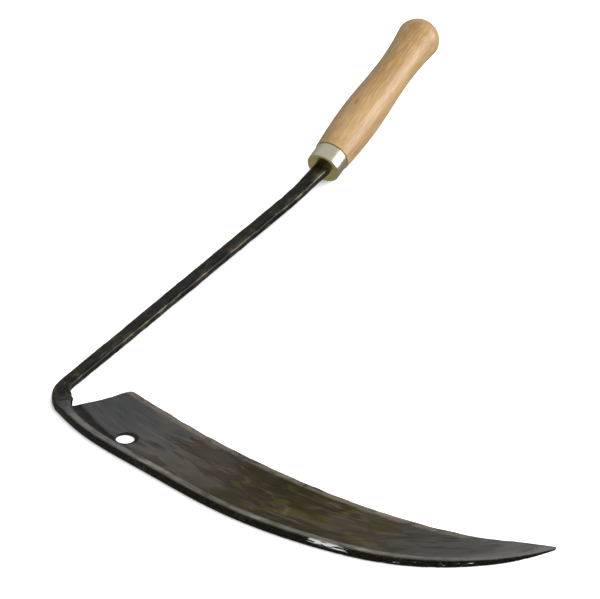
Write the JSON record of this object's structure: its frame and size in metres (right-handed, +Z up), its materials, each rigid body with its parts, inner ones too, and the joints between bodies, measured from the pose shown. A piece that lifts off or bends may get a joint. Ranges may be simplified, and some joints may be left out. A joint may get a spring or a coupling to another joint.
{
  "type": "hand sickle",
  "caption": "Hand sickle: a dished, rib-backed forged blade on a bent bar shank, with a plated ferrule and a turned wooden handle.",
  "frame": {"origin": "centre of the bottom of the bounding box, on the surface that the sickle lies on", "axes": "+Y along the shank from the blade to the handle, +X along the blade from the heel to the tip, +Z up"},
  "size_m": [0.401, 0.5601, 0.0638],
  "materials": {
    "blade": "hammered and ground, under streaked oil and clear lacquer",
    "shank_bar": "dark forge scale under clear lacquer, worn bright along one corner",
    "ferrule": "plated, with an olive yellow front face",
    "handle": "pale turned wood, clear satin lacquer"
  },
  "bodies": {
    "root": {"blade": "blade", "shank_bar": "shank_bar", "ferrule": "ferrule", "handle": "handle"}
  },
  "joints": []
}
